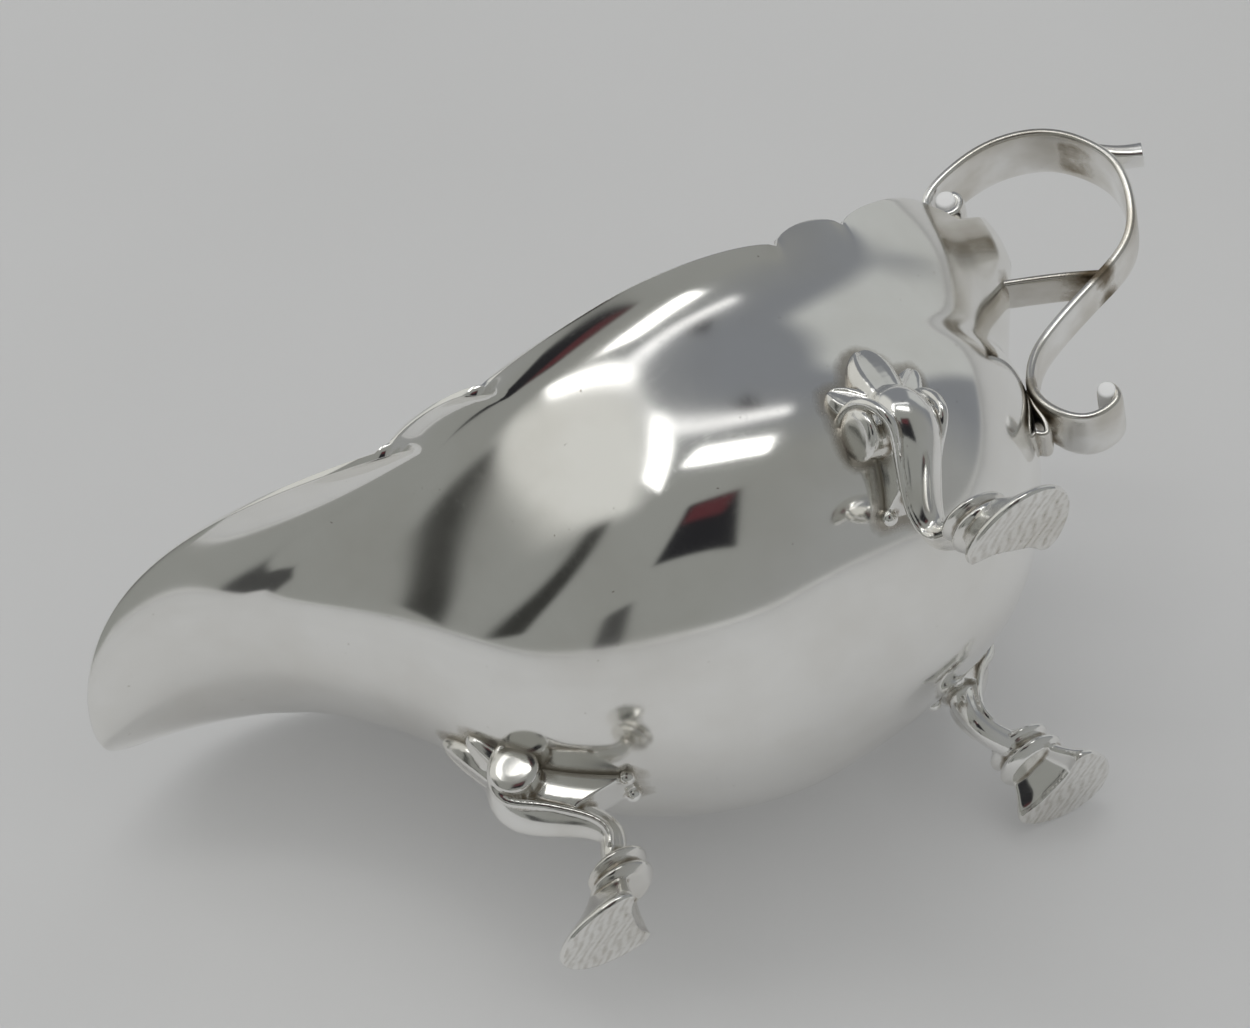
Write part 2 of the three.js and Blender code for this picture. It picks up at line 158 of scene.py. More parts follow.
def shape_tree(name, sizes, takes_geometry=False):
    """A Geometry Nodes group with one named input for each size, in millimetres."""
    group = bpy.data.node_groups.new(name, "GeometryNodeTree")
    face = group.interface
    face.new_socket("Geometry", in_out="OUTPUT", socket_type="NodeSocketGeometry")
    if takes_geometry:
        face.new_socket("Geometry", in_out="INPUT", socket_type="NodeSocketGeometry")
    for label, value in sizes.items():
        socket = face.new_socket(label, in_out="INPUT", socket_type="NodeSocketFloat")
        socket.default_value = value
    entry = group.nodes.new("NodeGroupInput")
    tree = Tree(group)
    return tree, {socket.name: Wire(tree, socket) for socket in entry.outputs if socket.name}


def finish_tree(tree, geometry, material):
    """Ends a shape tree with Realize Instances and Set Material."""
    whole = tree.node("GeometryNodeRealizeInstances", values={0: geometry})
    done = tree.node("GeometryNodeSetMaterial", values={"Geometry": whole, "Material": material})
    ending = tree.node_tree.nodes.new("NodeGroupOutput")
    tree.node_tree.links.new(done.socket, ending.inputs[0])
    return tree.node_tree


def new_object(name, data):
    piece = bpy.data.objects.new(name, data)
    bpy.context.scene.collection.objects.link(piece)
    return piece


def grow(piece, group=None, **sizes):
    """Evaluates a piece's modifiers, and a shape tree if one is given, into a plain mesh."""
    if group:
        modifier = piece.modifiers.new(group.name, "NODES")
        modifier.node_group = group
        for item in group.interface.items_tree:
            if item.in_out == "INPUT" and item.name in sizes:
                modifier[item.identifier] = float(sizes[item.name])
    graph = bpy.context.evaluated_depsgraph_get()
    mesh = bpy.data.meshes.new_from_object(piece.evaluated_get(graph))
    materials = [slot.material for slot in piece.material_slots]
    name = piece.name
    piece.modifiers.clear()
    if piece.type == "MESH":
        piece.data = mesh
    else:
        bpy.data.objects.remove(piece)
        piece = new_object(name, mesh)
    for material in materials:
        if material and material.name not in piece.data.materials:
            piece.data.materials.append(material)
    return piece


def corners(piece):
    mesh = piece.data
    places = np.empty(len(mesh.vertices) * 3)
    mesh.vertices.foreach_get("co", places)
    return places.reshape(-1, 3)


def plain_mesh(name, points, faces):
    mesh = bpy.data.meshes.new(name)
    mesh.from_pydata([tuple(point) for point in points], [], faces)
    mesh.update()
    return mesh


def report(piece):
    mesh = piece.data
    mesh.calc_loop_triangles()
    places = corners(piece) / MM
    size = [round(float(side), 1) for side in places.max(0) - places.min(0)]
    print(f"{piece.name}: {len(mesh.loop_triangles)} triangles, {size} mm")


print("helpers ready")

# %% [markdown]
# ## Polished silver
#
# Silver has almost no colour of its own: it shows the room. What makes it look real is
# how clean the reflection is from place to place. Hand polishing leaves hair scratches
# in several directions and a soft haze between them, and tarnish stays yellow-brown in
# the hollows that a cloth can't reach. The hollows come from an attribute that each
# mesh carries, called recess, and everything else is noise on Object coordinates.

# %% Silver materials
SILVER = (0.93, 0.925, 0.905, 1)
TARNISH = (0.20, 0.155, 0.10, 1)
WARM_SILVER = (0.80, 0.765, 0.69, 1)


def silver(name, polish=0.07, haze=0.10, tarnish=0.8, scratch=0.5, film=0.15):
    material = bpy.data.materials.new(name)
    material.use_nodes = True
    tree = Tree(material.node_tree)
    surface = material.node_tree.nodes["Principled BSDF"]
    surface.inputs["Metallic"].default_value = 1.0
    place = tree.node("ShaderNodeTexCoord", output=3)

    def noise(size_mm, detail=3.0, stretch=(1, 1, 1), turn=(0, 0, 0), rough=0.5):
        mapped = tree.node(
            "ShaderNodeMapping",
            values={"Vector": place, "Scale": stretch, "Rotation": turn},
        )
        return tree.node(
            "ShaderNodeTexNoise",
            values={
                "Vector": mapped,
                "Scale": 1 / (size_mm * MM),
                "Detail": detail,
                "Roughness": rough,
            },
        )

    def ramp(value, low, high):
        return ((value - low) / (high - low)).clamped()

    recess = tree.node("ShaderNodeAttribute", {"attribute_name": "recess"}, output=2)
    cloudy = noise(14, detail=4)
    grain = noise(1.1, detail=6, rough=0.62)
    hollow = ramp(recess + (grain - 0.5) * 0.55, 0.28, 0.95) * tarnish
    veil = ramp(cloudy, 0.42, 0.75) * film

    # Hair scratches: noise drawn out into long threads, cut off near its peaks.
    threads = [
        ramp(noise(2.2, 2, (1, 30, 30), (0.4, 0.9, 0.3)), 0.66, 0.74),
        ramp(noise(2.6, 2, (26, 26, 1), (0.2, 0.5, 1.3)), 0.67, 0.75),
        ramp(noise(1.8, 2, (28, 1, 28), (1.1, 0.2, 0.7)), 0.67, 0.76),
    ]
    hairs = (threads[0] + threads[1] + threads[2]).clamped() * scratch
    pits = ramp(noise(0.9, 1), 0.78, 0.84)

    tinted = tree.node(
        "ShaderNodeMix",
        {"data_type": "RGBA"},
        {"Factor": (veil + hollow * 0.6).clamped(), 6: SILVER, 7: WARM_SILVER},
        output=2,
    )
    dark = tree.node(
        "ShaderNodeMix",
        {"data_type": "RGBA"},
        {"Factor": (hollow * 0.85 + pits * 0.5 + veil * 0.45).clamped(), 6: tinted, 7: TARNISH},
        output=2,
    )
    roughness = polish + ramp(cloudy, 0.3, 0.8) * haze + hollow * 0.35 + hairs * 0.12
    relief = noise(22, detail=1) * 0.35 + grain * 0.004 - hairs * 0.006 - pits * 0.02
    bumped = tree.node(
        "ShaderNodeBump",
        values={"Strength": 1.0, "Distance": 0.00008, "Height": relief},
    )
    links = material.node_tree.links
    links.new(dark.socket, surface.inputs["Base Color"])
    links.new(roughness.clamped(0.02, 0.9).socket, surface.inputs["Roughness"])
    links.new(bumped.socket, surface.inputs["Normal"])
    return material


bowl_silver = silver("bowl_silver", polish=0.075, haze=0.08, tarnish=0.6, scratch=0.9)
cast_silver = silver("cast_silver", polish=0.11, haze=0.10, tarnish=1.0, scratch=0.5, film=0.35)
strap_silver = silver("strap_silver", polish=0.13, haze=0.14, tarnish=1.0, scratch=0.5, film=0.95)
print("silver finishes:", bowl_silver.name, cast_silver.name, strap_silver.name)

# %% [markdown]
# ## Smooth curves through few points
#
# A smith bends silver through a few set places and the metal settles smoothly between
# them. A cubic spline does the same. It is written here in its truncated power form,
# a cubic plus one cubic hinge at each inner knot, because that form is a plain sum
# which a node tree can also work out.

# %% Cubic splines
def spline_weights(values, even_start=False):
    """Weights of 1, t, t^2, t^3 and of max(t - k, 0)^3 at each inner knot k."""
    values = np.asarray(values, float)
    last = len(values) - 1

    def row(t, order):
        powers = [t**3, 3 * t**2, 6 * t][order]
        line = {0: [1, t, t**2], 1: [0, 1, 2 * t], 2: [0, 0, 2]}[order]
        hinges = [
            [max(t - k, 0) ** 3, 3 * max(t - k, 0) ** 2, 6 * max(t - k, 0)][order]
            for k in range(1, last)
        ]
        return [*line, powers, *hinges]

    rows = [row(float(t), 0) for t in range(last + 1)]
    rows += [row(0.0, 1 if even_start else 2), row(float(last), 2)]
    padding = np.zeros((2,) + values.shape[1:])
    return np.linalg.solve(np.array(rows), np.concatenate([values, padding]))


def spline_at(weights, t):
    hinges = [np.maximum(t - k, 0) ** 3 for k in range(1, len(weights) - 3)]
    basis = np.stack([np.ones_like(t), t, t**2, t**3, *hinges], axis=-1)
    return basis @ weights


def smooth(values, count):
    """Count places at even steps along the spline through the values."""
    weights = spline_weights(values)
    return spline_at(weights, np.linspace(0, len(values) - 1, count))


print("spline through 0, 1, 0:", smooth([0, 1, 0], 5).round(3))

# %% [markdown]
# ## The raised bowl
#
# A bowl is raised over stakes, hoop by hoop, and here too it is given by seven hoops
# from the base to the rim. Each hoop says how wide, how long and how high it is at the
# flank, the lip and the stern. One Geometry Nodes tree bends a flat grid into that
# shape: one side of the grid runs round the bowl and the other from base to rim. The
# rim's arches are added at the top, and the cusps between them fall on grid lines, so
# they stay crisp. A Solidify modifier then gives the sheet its thickness.

# %% Hoops of the bowl
HALF_WIDTH, STERN_REACH, LIP_REACH = 37.6, 49.3, 87.2
BASE_HEIGHT, RIM_HEIGHT, WALL = 9.7, 60.0, 0.9
HOOPS = {
    "half": (0, 0.61, 0.94, 1.0, 0.98, 0.98, 1.02),
    "lip": (0, 0.24, 0.45, 0.55, 0.66, 0.82, 1.0),
    "stern": (0, 0.53, 0.865, 1.0, 1.01, 1.1, 1.12),
    "flank_rise": (0, 0.09, 0.29, 0.54, 0.76, 0.9, 0.94),
    "lip_rise": (0, 0.09, 0.36, 0.66, 0.92, 1.13, 1.13),
    "stern_rise": (0, 0.03, 0.29, 0.57, 0.68, 0.92, 1.075),
    "waist": (0.03, 0.03, 0.03, 0.08, 0.12, 0.14, 0.07),
}
LAST_HOOP = 6
THROAT_AZIMUTH, THROAT_SPREAD = 130, 24
TAIL_REACH, TAIL_RISE, TAIL_SPREAD = 5.4, 2.2, 11
ARCHES = ((13, 49, 3.2), (49, 62, 2.5), (62, 103, 3.2), (103, 113, 2.3))
LAST_CUSP, LIP_ARCH = 113, 8.6 / 0.74
MERIDIANS, ROWS = 361, 73


def bowl_tree(material):
    tree, size = shape_tree(
        "raised_bowl",
        {
            "Half Width": HALF_WIDTH,
            "Stern Reach": STERN_REACH,
            "Lip Reach": LIP_REACH,
            "Base Height": BASE_HEIGHT,
            "Rim Height": RIM_HEIGHT,
        },
    )
    grid = tree.node(
        "GeometryNodeMeshGrid",
        values={"Size X": 360.0, "Size Y": 1.0, "Vertices X": MERIDIANS, "Vertices Y": ROWS},
    )
    azimuth, share, _ = tree.position()
    place = (share + 0.5) * LAST_HOOP
    hinges = [(place - knot).math("MAXIMUM", 0.0) ** 3.0 for knot in range(1, LAST_HOOP)]
    basis = [1.0, place, place * place, place**3.0, *hinges]
    hoop = {}
    for name, values in HOOPS.items():
        weights = spline_weights(values, even_start=name.endswith("rise") or name == "waist")
        terms = [basis[step] * float(weight) for step, weight in enumerate(weights) if step]
        hoop[name] = sum(terms, start=float(weights[0]))

    off_stern = azimuth.math("ABSOLUTE")
    turn = azimuth.math("RADIANS")
    across, ahead = turn.math("SINE"), turn.math("COSINE")
    tail = off_stern.bump(0, TAIL_SPREAD) * (place - 4).clamped()
    sternness = tree.node(
        "ShaderNodeMapRange",
        {"interpolation_type": "SMOOTHERSTEP"},
        {0: ahead, 1: -0.22, 2: 0.22},
    )
    lip_side = size["Lip Reach"] * hoop["lip"]
    stern_side = size["Stern Reach"] * hoop["stern"]
    reach = lip_side + (stern_side - lip_side) * sternness
    waist = 1 - hoop["waist"] * off_stern.bump(THROAT_AZIMUTH, THROAT_SPREAD)
    lip_share = ((1 - ahead) * 0.5) ** 2.0
    stern_share = ((1 + ahead) * 0.5) ** 5.5
    rise = (
        hoop["flank_rise"]
        + (hoop["lip_rise"] - hoop["flank_rise"]) * lip_share
        + (hoop["stern_rise"] - hoop["flank_rise"]) * stern_share
    )
    arch = 0.0
    for start, end, height in ARCHES:
        along = (off_stern - start) / (end - start)
        arch = ((along * (1 - along) * 4).math("MAXIMUM", 0.0) ** 0.6) * height + arch
    along = ((off_stern - LAST_CUSP) / (180 - LAST_CUSP)).clamped()
    arch = (along * math.pi).math("SINE") * ((1 - along) ** 0.5) * LIP_ARCH + arch
    near_rim = ((place - (LAST_HOOP - 1.2)) / 1.2).clamped() ** 1.5
    depth = size["Rim Height"] - size["Base Height"]
    bent = tree.vector(
        (reach * ahead + tail * TAIL_REACH) * MM,
        size["Half Width"] * hoop["half"] * across * waist * MM,
        (size["Base Height"] + depth * rise + tail * TAIL_RISE + near_rim * arch) * MM,
    )
    for label, value in (("azimuth", azimuth), ("level", place)):
        grid = tree.node(
            "GeometryNodeStoreNamedAttribute",
            {"data_type": "FLOAT", "domain": "POINT"},
            {"Geometry": grid, "Name": label, "Value": value},
        )
    shaped = tree.node("GeometryNodeSetPosition", values={"Geometry": grid, "Position": bent})
    closed = tree.node(
        "GeometryNodeMergeByDistance", values={"Geometry": shaped, "Distance": 0.003 * MM}
    )
    return finish_tree(tree, closed, material)


bowl = new_object("raised_bowl", bpy.data.meshes.new("raised_bowl"))
bowl = grow(bowl, bowl_tree(bowl_silver))
report(bowl)

# %% [markdown]
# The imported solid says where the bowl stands, so the new surface slides along X until
# its lip reaches the same place. Its faces have to look outwards before it is given a
# thickness. A tree of its faces is kept, because the legs and leaves sit on it.

# %% Place the bowl and keep its surface
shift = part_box("bowl")[0].x - corners(bowl)[:, 0].min()
bowl.data.transform(Matrix.Translation((shift, 0, 0)))
inside = Vector((shift, 0, 40 * MM))
if sum(face.normal.dot(face.center - inside) for face in bowl.data.polygons) < 0:
    bowl.data.flip_normals()
BOWL_SKIN = BVHTree.FromPolygons(
    [vertex.co.copy() for vertex in bowl.data.vertices],
    [tuple(face.vertices) for face in bowl.data.polygons],
)


def attribute(piece, name):
    values = np.empty(len(piece.data.vertices))
    piece.data.attributes[name].data.foreach_get("value", values)
    return values


def bowl_meridians():
    """Places on the bowl by whole degree of azimuth, each from the base up."""
    places, azimuths = corners(bowl), np.rint(attribute(bowl, "azimuth")).astype(int)
    levels = attribute(bowl, "level")
    azimuths[(azimuths == 0) & (places[:, 0] < shift)] = 180  # merged from both ends of the grid
    lines = {}
    for degree in range(-179, 180):
        chosen = np.flatnonzero((azimuths == degree) & (levels > 0.05))
        lines[degree] = places[chosen[np.argsort(levels[chosen])]]
    lines[180] = lines[-180] = 0.5 * (lines[179] + lines[-179]) * (1, 0, 1)
    return lines


MERIDIAN = bowl_meridians()


def on_bowl(azimuth, height):
    """The bowl's surface at an azimuth in degrees and a height in metres."""
    azimuth = (azimuth + 180) % 360 - 180
    low = math.floor(azimuth)
    ends = []
    for degree in (low, low + 1):
        line = MERIDIAN[degree]
        ends.append([np.interp(height, line[:, 2], line[:, axis]) for axis in range(3)])
    point = Vector(ends[0]).lerp(Vector(ends[1]), azimuth - low)
    normal = BOWL_SKIN.find_nearest(point)[1]
    return point, normal


BOWL_CENTRE_X = shift
print("bowl centre at x =", round(BOWL_CENTRE_X / MM, 2), "mm; belly:", on_bowl(0, 36 * MM)[0])

# %% Give the sheet its thickness
sheet = bowl.modifiers.new("sheet", "SOLIDIFY")
sheet.thickness, sheet.offset = WALL * MM, -1
sheet.use_even_offset = True
edge = bowl.modifiers.new("rim_edge", "BEVEL")
edge.width, edge.segments = 0.22 * MM, 2
edge.limit_method, edge.angle_limit = "ANGLE", math.radians(60)
edge.profile = 0.6
bowl = grow(bowl)
bowl.data.shade_smooth()
report(bowl)

# %% [markdown]
# ## Cast pieces
#
# A leg is cast in one piece from a model that was built up of simple turned and
# modelled forms. The same is done here: closed forms that overlap are put in one mesh,
# a voxel Remesh melts them into one skin, and a little smoothing rounds the joins as
# casting and filing do. Where a form would pass through the bowl its skin is pressed
# back to just inside the bowl's outer face, as a soldered face would be.

# %% Tools for cast pieces
def loft(rings):
    """A closed form through rings with the same number of points."""
    rings = [np.asarray(ring, float) for ring in rings]
    sides = len(rings[0])
    points = [*np.concatenate(rings), rings[0].mean(0), rings[-1].mean(0)]
    faces = []
    end = (len(rings) - 1) * sides
    for side in range(sides):
        after = (side + 1) % sides
        for ring in range(0, end, sides):
            faces.append((ring + side, ring + after, ring + sides + after, ring + sides + side))
        faces.append((len(points) - 2, after, side))
        faces.append((len(points) - 1, end + side, end + after))
    return points, faces


def rod(path, radii, flat, sides=16):
    """A round rod along a path, with one radius at each place."""
    path = np.asarray(path, float)
    tangents = np.gradient(path, axis=0)
    turns = np.linspace(0, 2 * math.pi, sides, endpoint=False)
    rings = []
    for place, tangent, radius in zip(path, tangents, radii):
        tangent = tangent / np.linalg.norm(tangent)
        across = np.asarray(flat) - tangent * np.dot(flat, tangent)
        across /= np.linalg.norm(across)
        lift = np.cross(across, tangent)
        rings.append([place + radius * (math.cos(t) * across + math.sin(t) * lift) for t in turns])
    return loft(rings)


def cast(name, forms, voxel, melt, material, sole=None):
    """Melts overlapping forms into one skin that sits on the bowl."""
    points, faces = [], []
    for form_points, form_faces in forms:
        start = len(points)
        points += list(form_points)
        faces += [tuple(start + index for index in face) for face in form_faces]
    piece = new_object(name, plain_mesh(name, points, faces))
    skin = piece.modifiers.new("skin", "REMESH")
    skin.mode, skin.voxel_size, skin.use_smooth_shade = "VOXEL", voxel * MM, True
    rounding = piece.modifiers.new("rounding", "SMOOTH")
    rounding.factor, rounding.iterations = 0.5, melt
    piece = grow(piece)
    for vertex in piece.data.vertices:
        point, normal, _, _ = BOWL_SKIN.find_nearest(vertex.co)
        depth = (vertex.co - point).dot(normal)
        if -0.012 < depth < -0.25 * MM:
            vertex.co = point - normal * 0.25 * MM
        if sole is not None:
            vertex.co.z = max(vertex.co.z, sole)
    piece.data.materials.append(material)
    piece.data.shade_smooth()
    mark_recesses(piece)
    if sole is not None:
        # Filing marks across the sole.
        marks, places = attribute(piece, "recess"), corners(piece) / MM
        ripple = np.sin(4.1 * places[:, 0] + 2.3 * places[:, 1] + 2 * np.sin(0.9 * places[:, 1]))
        filed = 0.34 + 0.13 * ripple * np.sin(0.7 * places[:, 0] + 1.1 * places[:, 1])
        marks = np.where(places[:, 2] < 0.05, filed, marks)
        piece.data.attributes["recess"].data.foreach_set("value", marks.astype(np.float32))
    report(piece)
    return piece


def mark_recesses(piece, reach=14, full=0.10):
    """Stores how deep each place lies in a hollow, from 0 to 1."""
    mesh = piece.data
    places = corners(piece)
    normals = np.empty(len(places) * 3)
    mesh.vertices.foreach_get("normal", normals)
    normals = normals.reshape(-1, 3)
    ends = np.empty(len(mesh.edges) * 2, int)
    mesh.edges.foreach_get("vertices", ends)
    ends = ends.reshape(-1, 2)
    count = np.bincount(ends.ravel(), minlength=len(places))[:, None].clip(1)

    def spread(values):
        total = np.zeros_like(values)
        np.add.at(total, ends[:, 0], values[ends[:, 1]])
        np.add.at(total, ends[:, 1], values[ends[:, 0]])
        return total / count

    settled = places
    for _ in range(reach):
        settled = 0.5 * settled + 0.5 * spread(settled)
    sunk = ((settled - places) * normals).sum(1, keepdims=True) / MM / full
    sunk = np.clip(sunk, 0, 1)
    for _ in range(3):
        sunk = 0.5 * sunk + 0.5 * spread(sunk)
    layer = mesh.attributes.new("recess", "FLOAT", "POINT")
    layer.data.foreach_set("value", sunk.ravel().astype(np.float32))


print("casting tools ready")

# %% [markdown]
# ## The legs
#
# Each leg is drawn in its own plane. Out runs towards the toe, side runs across and up
# is the height. From the table up come the hoof with its notched heel, two rings at
# the fetlock, a slender ankle and the swelling knee. At each side of the knee is a
# volute: a domed boss with a band that curls over it and runs down the edge of the leg.
# A flat-sided block behind the knee meets the bowl and ends in a bead at each side.

# %% Leg forms
KNEE_HEIGHT, KNEE_HALF_WIDTH, VOLUTE_RADIUS, HOOF_WIDTH = 26.0, 5.8, 3.5, 15.0
KNEE_STAND_OFF, TOE_LENGTH, HEEL_LENGTH, HEEL_NOTCH = 1.5, 1.33, 0.66, 0.5
# Out from the knee's middle, height, half depth and half width of the shank, in mm.
SHANK = (
    (2.4, 30.2, 1.4, 2.2),
    (3.3, 26.8, 2.9, 3.8),
    (2.7, 23.6, 3.4, 4.0),
    (0.8, 20.8, 3.0, 3.5),
    (-2.2, 17.9, 2.5, 3.0),
    (-4.4, 15.2, 2.1, 2.6),
    (-5.2, 12.6, 1.8, 2.1),
)
# Out from the knee's middle, height and distance from the middle of the edge band.
CURL = (
    (-3.9, 27.3, 5.4),
    (-2.4, 29.6, 5.5),
    (0.6, 30.0, 5.5),
    (3.3, 28.6, 5.3),
    (4.8, 26.0, 5.0),
    (4.7, 23.6, 4.5),
    (3.2, 22.0, 4.0),
)


# Out, height, half depth and half width where the shank enters the upper collar.
ANKLE_OUT, ANKLE_END = -4.2, (-2.8, 6.8, 2.0, 2.4)
WEB_FOOT, WEB_TOP, WEB_HALF_WIDTH = 17.9, 27.5, 3.05
BEAD_HEIGHT, BEAD_SIDE, BEAD_RADIUS = 17.6, 2.6, 1.15


class Foot:
    """Where one leg stands, and the path of its shank."""

    def __init__(self, azimuth, toe_angle, splay, boss_out):
        knee = on_bowl(azimuth, KNEE_HEIGHT * MM)[0]
        turn = math.radians(toe_angle)
        self.azimuth, self.splay, self.boss_out = azimuth, splay, boss_out
        self.knee = np.array((knee.x, knee.y, 0))
        self.outward = np.array((math.cos(turn), math.sin(turn), 0))
        self.sideways = np.array((-math.sin(turn), math.cos(turn), 0))
        self.knee_out = KNEE_STAND_OFF - splay
        ankle = self.knee_out + ANKLE_OUT
        sections = [(out + self.knee_out, *rest) for out, *rest in SHANK]
        bend = ((ankle + ANKLE_END[0]) / 2, 8.3, 2.0, 2.2)
        sections += [(ankle, 10.2, 1.8, 2.0), bend, ANKLE_END]
        self.shank = smooth(sections, 110)
        along = np.gradient(self.shank[:, :2], axis=0)
        along /= np.linalg.norm(along, axis=1, keepdims=True)
        self.forward = np.column_stack((-along[:, 1], along[:, 0]))

    def spot(self, out, side, up):
        level = self.outward * (out + self.splay) + self.sideways * side
        return self.knee + level * MM + np.array((0, 0, up)) * MM

    def on_shank(self, step, depth, side):
        """A place beside one step of the path, by shares of its half depth and width."""
        out, up, half_depth, half_width = self.shank[step]
        forward = self.forward[step] * half_depth * depth
        return out + forward[0], half_width * side, up + forward[1]

    def bowl_out(self, up):
        """How far out the bowl's face lies at a height."""
        point = np.array(on_bowl(self.azimuth, up * MM)[0]) - self.knee
        return float(point @ self.outward) / MM - self.splay


def around(count):
    return np.linspace(0, 2 * math.pi, count, endpoint=False)


def turned(profile, place, sides):
    """A closed form with a ring for each row of a profile, by place(row, cos, sin)."""
    return loft(
        [[place(row, math.cos(t), math.sin(t)) for t in around(sides)] for row in profile]
    )


def squared(value, power=0.4):
    """Pushes a sine or cosine outwards, so that a circle turns into a rounded square."""
    return math.copysign(abs(value) ** power, value)


def hoof(foot):
    """The flared hoof with its heel cut away."""
    sections = smooth(
        [(0, 0, 1), (0.035, 0, 1.0), (0.09, -0.6, 0.82), (0.16, -1.5, 0.62), (0.23, -2.3, 0.48)],
        20,
    )

    def place(row, forward, aside):
        up, out, scale = row
        half = HOOF_WIDTH / 2 * scale
        heel = HEEL_LENGTH - HEEL_NOTCH * math.exp(-(((forward + 1) / 0.35) ** 2))
        length = forward * (TOE_LENGTH if forward > 0 else heel)
        return foot.spot(out + half * length, half * aside, max(up, 0) * KNEE_HEIGHT)

    return turned(sections, place, 60)


def collars(foot):
    # Height, out, half width and half depth in mm.
    sections = smooth(
        [
            (4.2, -2.2, 4.0, 3.6),
            (5.6, -2.1, 5.2, 4.9),
            (6.7, -2.5, 4.0, 3.6),
            (7.8, -2.8, 4.9, 4.5),
            (9.0, -3.4, 3.2, 3.0),
            (9.6, -3.6, 1.6, 1.5),
        ],
        44,
    )

    def place(row, forward, aside):
        up, out, half_width, half_depth = row
        return foot.spot(out + half_depth * forward, half_width * aside, up)

    return turned(sections, place, 48)


def shank(foot):

    def place(step, front, aside):
        # The front is a plate with a low keel; behind its edges the flanks step in.
        keel = 1 + 0.08 * max(front, 0) ** 8
        flank = 1 - 0.2 * min(max(-front / 0.3, 0), 1)
        return foot.spot(*foot.on_shank(step, front * keel, aside * flank))

    return turned(range(len(foot.shank)), place, 48)


def boss(foot, hand):
    """The domed end of the knee's volute."""
    # Distance from the face's edge and share of the radius.
    profile = [
        (-3, 0.97), (-0.5, 1), (0.1, 1), (0.5, 0.93), (0.74, 0.72), (0.84, 0.42), (0.86, 0.15),
    ]
    middle = foot.knee_out + foot.boss_out

    def place(row, forward, upward):
        side, radius = row[0], VOLUTE_RADIUS * row[1]
        height = KNEE_HEIGHT + radius * upward
        return foot.spot(middle + radius * forward, hand * (KNEE_HALF_WIDTH + side), height)

    return turned(profile, place, 44)


def band(foot, hand):
    """The edge of the front plate: it curls over the boss and runs down to the ankle."""
    path = [(foot.knee_out + out, side, up) for out, up, side in CURL]
    last = int(len(foot.shank) * 0.84)
    path += [foot.on_shank(step, 0.1, 0.98) for step in range(int(last * 0.42), last, 9)]
    places = [foot.spot(out, hand * side, up) for out, side, up in smooth(path, 110)]
    shares, radii = (0, 0.1, 0.35, 0.6, 1), (0.4, 0.85, 0.8, 0.6, 0.4)
    radii = np.interp(np.linspace(0, 1, len(places)), shares, radii)
    return rod(places, radii * MM, foot.sideways)


def web(foot):
    """The flat-sided block behind the shank that meets the bowl."""

    def place(up, forward, aside):
        step = int(np.argmin(abs(foot.shank[:, 1] - up)))
        back, front = foot.bowl_out(up) - 0.6, float(foot.shank[step, 0])
        half = max((front - back) / 2, 0.6)
        along = squared(forward) * half
        return foot.spot(back + half + along, squared(aside) * WEB_HALF_WIDTH, up)

    return turned(np.linspace(WEB_FOOT, WEB_TOP, 26), place, 28)


def bead(foot, hand):
    out = foot.bowl_out(BEAD_HEIGHT) + 1.0

    def place(lift, forward, aside):
        wide = BEAD_RADIUS * math.sqrt(1 - lift * lift)
        height = BEAD_HEIGHT + BEAD_RADIUS * lift
        return foot.spot(out + wide * forward, hand * BEAD_SIDE + wide * aside, height)

    return turned(np.linspace(-0.99, 0.99, 9), place, 20)


def make_leg(name, foot):
    forms = [hoof(foot), collars(foot), shank(foot), web(foot)]
    for hand in (-1, 1):
        forms += [boss(foot, hand), band(foot, hand), bead(foot, hand)]
    return cast(name, forms, voxel=0.2, melt=2, material=cast_silver, sole=0.0)


# Azimuth, toe angle in degrees, splay and how far the bosses stand out, in mm.
FEET = {
    "front": Foot(180, 180, 1.0, 1.5),
    "port_rear": Foot(-58.5, -56, 6.4, 0.0),
    "starboard_rear": Foot(58.5, 56, 6.4, 0.0),
}
legs = {place: make_leg(f"{place}_cast_leg", foot) for place, foot in FEET.items()}

# %% [markdown]
# ## The applied leaves
#
# Above each knee a leaf lies on the bowl: a long lobe in the middle and a shorter one
# at each side that comes out from under it. A lobe is a small cushion laid on the
# bowl's curve, with a fold along each edge, and the lobes are melted together as the
# legs were.

# %% Leaves
# Lean from upright in degrees, length, half width and height over the bowl, in mm.
LOBES = ((0, 13.4, 3.0, 1.9), (33, 10.6, 2.2, 1.5), (-33, 10.6, 2.2, 1.5))
ROOT_RISE = 4.8  # how far the leaf's root climbs on to the knee


